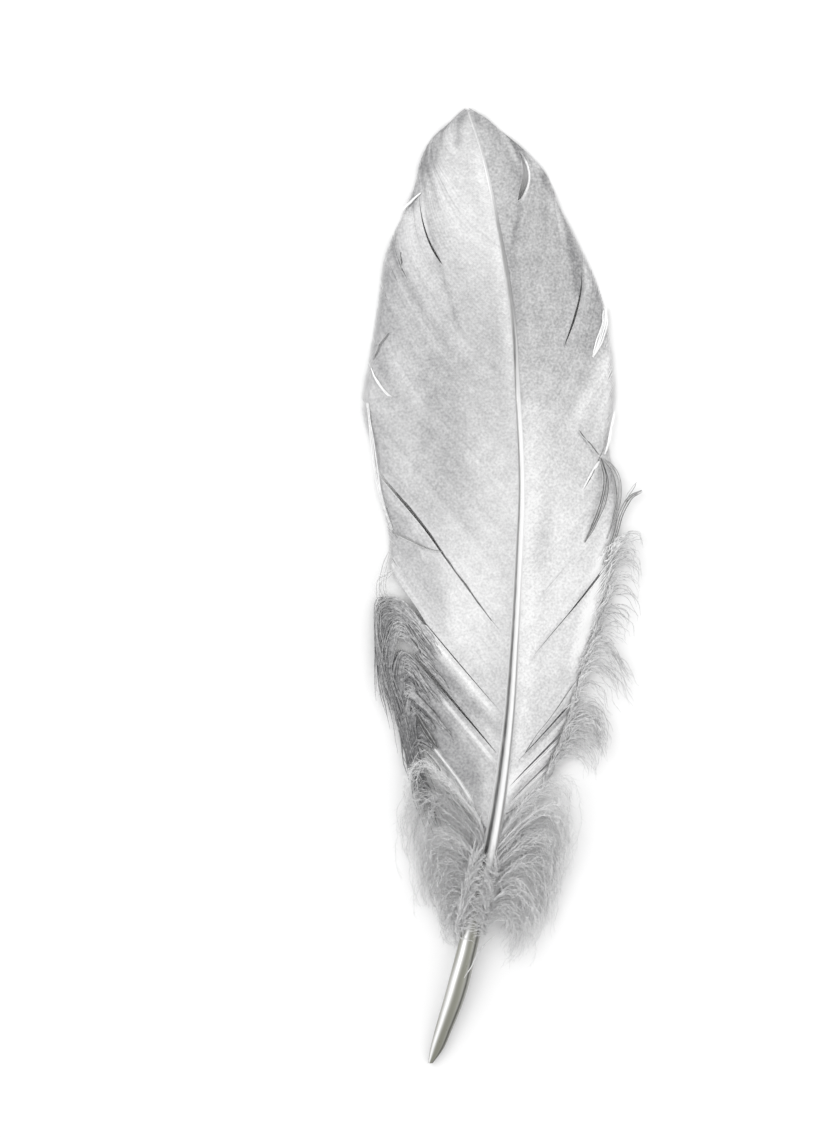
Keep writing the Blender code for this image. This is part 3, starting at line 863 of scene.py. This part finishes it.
# Root, then the places that a strand from there passes outside the vane: across, back, ...
LEFT_LOOSE = (
    (117.0, -19.2, 94.0, -21.9, 93.3, -23.9, 94.4, -24.5, 98.4, -23.9, 104.1, -23.4, 109.2, -21.9, 113.4),
    (119.5, -19.8, 96.0, -22.2, 95.6, -23.6, 97.5, -23.6, 102.2, -23.4, 107.0, -22.4, 112.1, -20.5, 118.0),
    (121.5, -18.8, 98.6, -20.9, 98.6, -21.9, 101.3, -22.6, 105.5, -22.4, 110.4, -20.9, 115.7, -19.4, 121.2),
    (123.5, -18.1, 101.7, -19.9, 101.3, -21.1, 103.7, -21.7, 108.1, -20.9, 113.0, -19.4, 118.8, -18.1, 125.0),
    (127.0, -17.5, 105.8, -19.2, 104.9, -20.1, 107.3, -20.1, 112.1, -19.2, 117.0, -17.7, 122.7, -16.3, 128.8),
    (131.5, -16.1, 112.3, -17.9, 110.8, -18.8, 113.2, -18.6, 117.4, -17.5, 121.8, -15.8, 127.3, -14.1, 133.6),
    (135.0, -15.0, 117.2, -16.5, 115.1, -17.3, 117.6, -16.9, 121.6, -15.8, 126.0, -13.9, 131.1, -11.8, 137.4),
    (138.2, -13.1, 121.8, -14.6, 120.4, -16.1, 120.2, -17.2, 123.2, -16.4, 128.0, -14.6, 133.6, -12.2, 139.4),
)
RIGHT_LOOSE = (
    (107.0, 22.2, 81.9, 23.6, 80.8, 25.1, 80.6, 26.2, 81.5, 26.6, 83.2),
    (110.0, 22.2, 84.0, 23.8, 82.8, 25.3, 82.8, 26.2, 84.2, 26.4, 86.1),
    (113.0, 21.5, 86.6, 23.0, 85.3, 24.7, 85.3, 26.0, 86.6, 26.2, 88.9),
    (115.5, 20.7, 90.1, 22.2, 88.7, 23.9, 88.7, 25.5, 90.1, 25.8, 92.5),
    (117.5, 19.6, 93.7, 21.1, 92.5, 23.0, 92.7, 24.5, 94.2, 24.9, 96.7),
    (119.5, 18.4, 97.1, 19.8, 96.0, 21.5, 96.1, 23.0, 97.5, 23.4, 99.8),
    (121.5, 17.7, 100.9, 19.0, 99.8, 20.5, 100.1, 21.9, 101.7, 22.4, 104.1),
    (123.0, 16.5, 103.2, 18.2, 101.8, 20.1, 102.8, 22.2, 105.5, 24.5, 109.4),
    (125.0, 15.8, 105.8, 17.7, 104.3, 19.8, 105.5, 22.2, 108.3, 24.7, 112.7),
    (127.5, 14.8, 108.9, 16.9, 107.3, 19.2, 108.5, 21.3, 111.2, 23.2, 115.0),
    (130.0, 14.1, 111.5, 16.1, 110.4, 18.2, 111.2, 19.9, 113.2, 21.1, 116.1),
    (133.0, 13.1, 115.5, 15.2, 113.8, 17.3, 114.2, 19.0, 116.5, 19.8, 119.9),
    (136.5, 11.4, 119.9, 13.7, 118.0, 16.1, 118.2, 18.1, 120.5, 18.6, 124.1),
    (141.0, 8.9, 126.0, 11.4, 123.5, 13.9, 123.5, 15.8, 125.8, 16.1, 129.8),
)
# Locks painted lighter or darker, as painted highlight and painted shade: root, half width, change of tone
LEFT_LOCKS = (
    (117.8, 0.7, 0.15),
    (121.6, 0.5, 0.05),
    (125.6, 0.6, -0.15),
    (129.5, 0.9, -0.22),
    (132.8, 0.7, -0.20),
    (136.4, 1.1, -0.35),
)
RIGHT_LOCKS = ((119.6, 0.9, -0.30), (128.5, 0.9, -0.15))
left_roots = np.concatenate((np.linspace(117.0, 123.4, 125), np.linspace(125.2, 138.2, 265)))
# The left ends' dark tones are painted shade, for the shadow in the gaps between their strands
grow_ends("left_loose_ends", LEFT_EDGE, LEFT_REACH, LEFT_LOOSE, left_roots,
          share=0.80, inset=0.2, lock_size=1.4,
          courses={"apart": 0.7, "loose": 0.75, "shortness": 0.34, "wave": 0.35},
          breadths=(0.30, 0.13), tones=(0.18, 0.19), locks=LEFT_LOCKS,
          barbules=(1.6, 0.8, 0.06), seed=3)
right_roots = np.sort(np.concatenate((
    rng.uniform(106.0, 119.0, 80), rng.uniform(119.0, 141.0, 210), rng.uniform(133.0, 141.5, 60))))
# The right ends start at full tone: painted light against the shade at the vane's edge
grow_ends("right_loose_ends", RIGHT_EDGE, RIGHT_REACH, RIGHT_LOOSE, right_roots,
          share=0.98, inset=0.10, lock_size=1.1,
          courses={"apart": 0.8, "loose": 0.6, "shortness": 0.35, "wave": 0.6},
          breadths=(0.20, 0.09), tones=(1.00, 0.56), locks=RIGHT_LOCKS,
          barbules=(1.1, 0.8, 0.06), seed=4)

# ----------------------------------------
# The soft barbs and the down round the quill's upper end. They have long fine barbules but no
# hooks, so they spread in locks, droop, and mat with the paint into a grey cloud.
# Root, then the places that a barb from there passes: across, back, ...
LEFT_DOWN = (
    (138.0, -4.8, 133.9, -8.6, 129.0, -12.0, 124.8, -14.8, 122.5, -16.9, 124.8, -17.7, 130.7, -16.9, 137.8),
    (139.5, -4.9, 135.5, -8.7, 131.1, -12.2, 127.3, -15.0, 125.4, -17.5, 127.9, -18.1, 133.9, -16.7, 141.2),
    (141.5, -5.1, 137.6, -8.9, 133.4, -12.2, 130.5, -15.0, 129.8, -17.1, 132.8, -17.3, 138.9, -16.0, 145.3),
    (143.5, -5.5, 139.8, -8.9, 136.2, -12.0, 134.1, -14.6, 134.7, -16.1, 138.5, -16.1, 143.8, -14.8, 149.7),
    (146.0, -6.1, 142.5, -8.9, 139.7, -11.6, 138.7, -13.9, 140.4, -14.8, 144.6, -14.4, 148.8, -13.3, 152.9),
    (148.5, -6.7, 145.3, -9.3, 143.4, -11.6, 143.8, -12.9, 146.3, -13.3, 149.3, -12.5, 152.2, -11.4, 154.8),
    (151.5, -7.2, 148.6, -8.9, 147.8, -10.4, 148.8, -11.2, 150.9, -11.2, 152.9, -10.6, 154.8, -9.7, 156.6),
    (155.0, -7.6, 152.2, -8.6, 152.0, -9.3, 152.9, -9.7, 154.5, -9.7, 156.0, -9.3, 157.3, -8.7, 158.5),
    (158.0, -7.8, 155.2, -8.6, 155.2, -8.9, 156.0, -9.1, 157.1, -8.9, 158.1, -8.6, 159.0, -8.2, 159.8),
)
RIGHT_DOWN = (
    (137.0, 3.2, 131.7, 7.0, 127.5, 10.1, 125.6, 12.3, 126.9, 13.3, 130.9, 12.5, 136.6, 11.0, 142.3),
    (139.0, 3.0, 133.9, 6.7, 130.5, 9.9, 128.8, 12.0, 130.5, 12.7, 135.1, 12.0, 140.2, 10.4, 145.0),
    (141.5, 2.5, 137.4, 6.1, 134.5, 9.1, 133.8, 11.0, 135.8, 11.4, 140.6, 10.3, 145.3, 8.9, 149.3),
    (144.0, 1.7, 140.6, 5.1, 138.1, 7.8, 137.9, 9.5, 140.4, 9.7, 144.6, 8.7, 149.3, 7.8, 154.1),
    (147.0, 0.9, 143.4, 3.8, 141.7, 6.3, 142.1, 7.8, 144.6, 8.2, 148.8, 7.6, 153.5, 6.7, 157.7),
    (150.0, 0.2, 146.5, 2.7, 145.3, 4.9, 146.1, 6.3, 148.8, 6.7, 152.6, 6.1, 156.4, 5.1, 160.2),
    (153.0, -0.8, 149.7, 1.1, 149.2, 3.0, 150.1, 4.2, 152.6, 4.6, 155.6, 4.0, 158.7, 3.0, 161.5),
    (158.0, -2.1, 153.7, -0.6, 153.7, 0.6, 154.7, 1.3, 156.4, 1.5, 158.5, 1.1, 160.4, 0.4, 162.1),
)
DOWN_LOCK = 0.9                 # room along the shaft that one lock's barbs grow from
DOWN_COURSES = {"apart": 1.1, "loose": 1.3, "shortness": 0.3, "wave": 0.8}
DOWN_LOW = (1.2, 0.3, 3.5)      # height over the table at which a barb ends: middle, least, most
DOWN_PUFF = 1.2                 # how high its course swells on the way
DOWN_STREAKED = (144.0, 149.0)  # the locks' tones differ more ahead of here
DOWN_SECTION = (3, 0.6)
DOWN_BARBULES = (0.30, 2.0, 0.05)
TUFT_SECTION = (3, 0.5)
TUFT_BARBULES = (0.28, 1.9, 0.055)


def grow_down(name, rows, roots, side, tone, seed):
    """Soft barbs that leave the shaft's side, swell upwards and droop to the table."""
    lock = np.floor((roots - roots[0]) / DOWN_LOCK).astype(int)
    shaft_across, underside, half_width, half_height = along(SHAFT, roots)
    first = np.stack((shaft_across + 0.7 * side * half_width, roots), axis=-1)[:, None]
    flat, s = lay_out(first, rows, roots, lock, **DOWN_COURSES)
    foot = (underside + half_height * rng.uniform(0.6, 1.5, len(roots)))[:, None]
    low = np.clip(DOWN_LOW[0] + by_lock(lock, 0.5, 0.5), *DOWN_LOW[1:])[:, None]
    height = foot + (low - foot) * fade(s, 0.0, 1.0)
    height = height + np.abs(DOWN_PUFF + by_lock(lock, 0.7, 0.5))[:, None] * np.sin(np.pi * s ** 0.8)
    line = np.concatenate((flat, height[..., None]), axis=-1)
    breadth = 0.13 - 0.07 * fade(s, 0.0, 0.6)
    streaked = 1 - fade(roots, *DOWN_STREAKED)
    tone = (tone + by_lock(lock, 0.07, 0.07) + streaked * by_lock(lock, 0.15, 0.05))[:, None]
    fluff = (0.5 + 0.5 * fade(s, 0.0, 0.3)) * (1 - 0.4 * s ** 2)
    grow_fluffy(name, line, breadth, tone, fluff, DOWN_SECTION, DOWN_BARBULES, seed, DOWN_PAINT)


def bow(a, b, c, d):
    """Points on a smooth bow from a to d, pulled towards b and c, for many strands at once."""
    a, b, c, d = (np.stack(np.broadcast_arrays(*place), axis=-1)[:, None] for place in (a, b, c, d))
    s = np.linspace(0.0, 1.0, END_POINTS)[None, :, None]
    return (1 - s) ** 3 * a + 3 * (1 - s) ** 2 * s * b + 3 * (1 - s) * s ** 2 * c + s ** 3 * d


def grow_quill_down(name, roots, seed):
    """Tufts that rise beside the quill and lie over it, matted."""
    count = len(roots)
    side = rng.choice((-1.0, 1.0), count)
    shaft_across, underside, half_width, half_height = along(SHAFT, roots)
    foot = shaft_across + side * (half_width * 0.9 + rng.uniform(0.0, 0.8, count))
    over = rng.uniform(-0.8, 3.0, count)
    lift = rng.uniform(-1.0, 7.0, count)
    top = underside + 2 * half_height
    line = bow(
        (foot, roots, underside + half_height),
        (foot + side * 1.2, roots - 0.2 * lift, top + 0.6),
        (foot - side * 0.3 * over, roots - 0.7 * lift, top + rng.uniform(0.8, 2.2, count)),
        (foot - side * over, roots - lift, top + rng.uniform(0.2, 1.6, count)))
    s = np.linspace(0.0, 1.0, END_POINTS)[None, :]
    tone = 0.48 + 0.1 * rng.normal(size=(count, 1))
    fluff = 0.5 + 0.3 * np.sin(np.pi * s)
    grow_fluffy(name, line, 0.14 - 0.06 * s, tone, fluff, TUFT_SECTION, TUFT_BARBULES, seed, DOWN_PAINT)


DOWN_PAINT = barb_paint("silver_on_down", dark=(0.55, 0.55, 0.555), light=(0.97, 0.97, 0.97),
                        metallic=0.3, grain_size=0.5, grain=0.2)
# The down has draws of its own, so it stays as it is when barbs are added to the vanes
rng = np.random.default_rng(22)
grow_down("left_down", LEFT_DOWN, np.sort(rng.uniform(138.6, 158.0, 225)), side=-1, tone=0.33, seed=5)
grow_down("right_down", RIGHT_DOWN, np.sort(rng.uniform(137.6, 158.0, 216)), side=1, tone=0.46, seed=6)
grow_quill_down("quill_down", np.sort(rng.uniform(145.5, 157.5, 300)), seed=9)

# ----------------------------------------
# Stray barbs that tore loose and dried into the paint where they lay: across the vanes, hooked
# over the right edge, and over the quill. A few dark ones lie in the slits and along fold lines,
# their darkness painted shade.
STRAY_POINTS = 24
VANE_ENDS = (138.0, 142.0)      # behind this, heights are above the table
# How many lie side by side, over what breadth, how broad one is, its tone, and the places that
# they pass: across, back, height above the vane or the table
STRAYS = (
    (2, 0.35, 0.18, 0.20, (-21.1, 80.8, 0.9), (-17.9, 82.3, 0.7), (-14.6, 83.8, 0.6), (-11.6, 84.5, 0.4)),
    (3, 0.9, 0.20, 0.80, (-25.8, 56.2, 0.6), (-24.9, 63.3, 0.8), (-23.4, 72.8, 0.9), (-21.1, 80.4, 0.6)),
    (4, 1.6, 0.14, 0.55, (-21.5, 84.5, 0.8), (-22.6, 88.5, 1.0), (-22.9, 91.5, 1.2), (-21.5, 94.8, 1.0)),
    (4, 1.5, 0.13, 0.45, (-21.0, 88.0, 0.8), (-22.0, 89.0, 1.2), (-23.6, 90.0, 1.3), (-23.9, 92.6, 1.2),
     (-22.8, 95.0, 1.0)),
    (2, 0.5, 0.20, 0.10, (14.3, 61.5, 0.5), (16.4, 64.2, 0.7), (18.6, 66.6, 0.9)),
    (6, 1.3, 0.15, 0.00, (18.4, 66.7, 0.9), (19.4, 70.9, 1.1), (18.8, 75.1, 0.9), (17.1, 79.4, 0.6),
     (15.4, 82.7, 0.4)),
    (5, 1.2, 0.14, 0.20, (19.0, 66.9, 0.9), (20.8, 68.6, 1.2), (21.9, 71.6, 1.0), (21.6, 76.2, 0.7),
     (19.6, 82.0, 0.4)),
    (5, 1.0, 0.17, 0.12, (26.4, 73.0, 1.3), (24.1, 74.3, 1.2), (22.3, 77.5, 1.0), (21.2, 81.6, 0.8),
     (19.0, 87.0, 0.5)),
    (2, 0.8, 0.12, 0.25, (25.4, 71.3, 1.4), (23.8, 73.7, 1.2), (22.4, 77.0, 0.9)),
    (2, 0.4, 0.26, 1.00, (18.2, 67.3, 0.8), (16.5, 69.9, 0.6), (15.0, 72.8, 0.4)),
    (2, 0.5, 0.26, 1.00, (21.2, 57.8, 0.5), (20.3, 62.5, 0.7), (19.3, 66.0, 0.8)),
    (4, 1.2, 0.30, 1.00, (19.4, 38.0, 0.3), (19.3, 41.0, 0.5), (18.3, 44.5, 0.5), (17.0, 47.6, 0.3)),
    (3, 0.5, 0.20, 0.95, (-15.6, 16.3, 0.5), (-17.7, 18.2, 0.7), (-19.4, 19.9, 0.6)),
    (2, 0.5, 0.18, 0.15, (-21.9, 42.9, 0.4), (-23.4, 45.2, 0.6), (-24.7, 48.1, 0.5)),
    (2, 0.5, 0.20, 0.95, (-25.1, 49.6, 0.4), (-23.8, 52.3, 0.7), (-22.2, 54.3, 0.5), (-21.1, 55.1, 0.4)),
    (2, 0.12, 0.20, 0.00, (-19.5, 27.6, 0.15), (-19.4, 29.5, 0.2), (-19.2, 32.0, 0.15)),
    (1, 0.0, 0.14, 0.10, (-20.9, 31.0, 0.15), (-20.95, 32.0, 0.2), (-20.9, 33.2, 0.15)),
    (1, 0.0, 0.22, 0.70, (-1.5, 157.3, 2.2), (-4.4, 159.8, 4.0), (-6.1, 163.0, 4.9), (-7.4, 165.2, 4.6)),
    # This dark strand lies along the left slit: painted shade in it
    (1, 0.0, 0.38, 0.00, (-20.4, 73.2, 0.0), (-17.8, 75.9, 0.05), (-15.4, 78.9, 0.05),
     (-13.0, 82.2, 0.05), (-10.6, 86.0, 0.0)),
    (1, 0.0, 0.22, 0.10, (-11.2, 85.2, 0.2), (-9.8, 87.2, 0.35), (-7.0, 90.9, 0.35), (-4.7, 94.3, 0.35),
     (-2.3, 97.5, 0.3)),
    (1, 0.0, 0.18, 0.15, (3.0, 124.5, 0.2), (5.6, 120.2, 0.3), (8.4, 116.5, 0.4), (11.6, 112.2, 0.6),
     (14.8, 107.8, 1.0)),
    (2, 0.6, 0.18, 0.05, (0.6, 134.2, 0.3), (3.8, 132.3, 0.5), (7.0, 131.1, 0.9)),
    (2, 0.5, 0.24, 1.00, (0.7, 137.0, 0.4), (2.8, 135.8, 0.8), (5.0, 134.7, 1.2)),
    (5, 1.4, 0.20, 0.00, (-16.5, 115.3, 1.4), (-14.5, 118.8, 1.5), (-12.5, 121.8, 1.0)),
    (4, 0.9, 0.18, 0.00, (-14.6, 122.2, 1.3), (-13.0, 124.8, 1.2), (-11.6, 126.9, 0.8)),
)


def lay_strays(name):
    """Small bundles of barbs that run side by side and come together towards their ends."""
    lines, breadths, tones = [], [], []
    t = np.linspace(0.0, 1.0, STRAY_POINTS)
    for count, spread, breadth, tone, *places in STRAYS:
        knots = np.column_stack((np.linspace(0.0, 1.0, len(places)), places))
        for k in range(count):
            across, back, lift = along(knots, t)
            apart = (k + 0.5 - count / 2) * spread / count
            turn = np.arctan2(np.gradient(back), np.gradient(across))
            sway = apart * np.sin(np.pi * (0.12 + 0.8 * t)) + 0.07 * soft_noise(STRAY_POINTS, 6)
            across, back = across - sway * np.sin(turn), back + sway * np.cos(turn)
            left = vane_height(LEFT_EDGE, across, back)
            right = vane_height(RIGHT_EDGE, across, back)
            vane = np.where(across < along(SHAFT, back)[0], left, right) * (1 - fade(back, *VANE_ENDS))
            lines.append(np.column_stack((across, back, vane + lift + rng.uniform(0.0, 0.15))))
            breadths.append(breadth * (1 - 0.6 * fade(t, 0.75, 1.0)) * (0.5 + 0.5 * fade(t, 0.0, 0.15)))
            tones.append([tone + 0.3 * (tone < 0.5) * (k % 2) + 0.08 * rng.normal()])
    guides = strand_guides(name, np.array(lines), np.array(breadths), np.array(tones), 0.0)
    grow(name, guides, STRANDS, Sides=5, Flatness=0.4, Material=STRAY_PAINT)


STRAY_PAINT = barb_paint("silver_on_stray_barbs", dark=(0.10, 0.10, 0.10), light=(0.95, 0.95, 0.95),
                         metallic=0.4, grain_size=0.5, grain=0.15)
lay_strays("stray_barbs")

# ----------------------------------------
# The studio: a plain pale floor under the feather, soft light from the upper left, a weaker fill,
# and a camera that looks straight down.
PIXEL = 0.19 * MM                     # one pixel of the picture on the floor
PICTURE_HEIGHT = 1138
PICTURE_MIDDLE = (-18.24, 3.04)       # the picture's middle on the floor: across, and +Y
CAMERA_HEIGHT = 1.3
SENSOR = 36.0
FLOOR_SIZE = 3.0
FLOOR_DROP = 0.1 * MM                 # the feather rests a hair above the floor
PALE_BOARD = (0.93, 0.93, 0.93, 1.0)
# Lamps: place, width and height, power
KEY_LAMP = ((-0.75, 0.35, 0.75), (0.7, 0.9), 3.4)
FILL_LAMP = ((0.8, -0.3, 0.8), (0.8, 0.8), 1.2)
SKY = 0.95


def lay_floor():
    half = FLOOR_SIZE / 2
    mesh = bpy.data.meshes.new("floor")
    corners = [(-half, -half, 0.0), (half, -half, 0.0), (half, half, 0.0), (-half, half, 0.0)]
    mesh.from_pydata(corners, [], [(0, 1, 2, 3)])
    floor = set_out("floor", mesh)
    floor.location.z = -FLOOR_DROP
    board, tree = start_paint("pale_board")
    feed(tree, tree.nodes["Principled BSDF"], {"Base Color": PALE_BOARD, "Roughness": 0.9})
    mesh.materials.append(board)


def hang_lamp(name, place, size, power):
    """A soft lamp that looks at the feather."""
    light = bpy.data.lights.new(name, "AREA")
    light.shape = "RECTANGLE"
    light.size, light.size_y = size
    light.energy = power
    lamp = set_out(name, light)
    lamp.location = place
    x, y, z = place
    lamp.rotation_euler = (0.0, math.atan2(math.hypot(x, y), z), math.atan2(-y, -x) + math.pi)


def open_sky():
    sky = bpy.data.worlds.new("soft_studio")
    sky.use_nodes = True
    tree = sky.node_tree
    feed(tree, tree.nodes["Background"], {"Color": (1.0, 1.0, 1.0, 1.0), "Strength": SKY})
    bpy.context.scene.world = sky
    bpy.context.scene.view_settings.view_transform = "Standard"


def hang_camera():
    """It looks straight down, at a scale that gives the picture's pixels their size on the floor."""
    lens = bpy.data.cameras.new("camera")
    lens.sensor_width = SENSOR
    lens.lens = SENSOR * CAMERA_HEIGHT / (PICTURE_HEIGHT * PIXEL)
    lens.clip_end = 10.0
    camera = set_out("camera", lens)
    camera.location = (PICTURE_MIDDLE[0] * MM, PICTURE_MIDDLE[1] * MM, CAMERA_HEIGHT)
    bpy.context.scene.camera = camera


lay_floor()
hang_lamp("key", *KEY_LAMP)
hang_lamp("fill", *FILL_LAMP)
open_sky()
hang_camera()
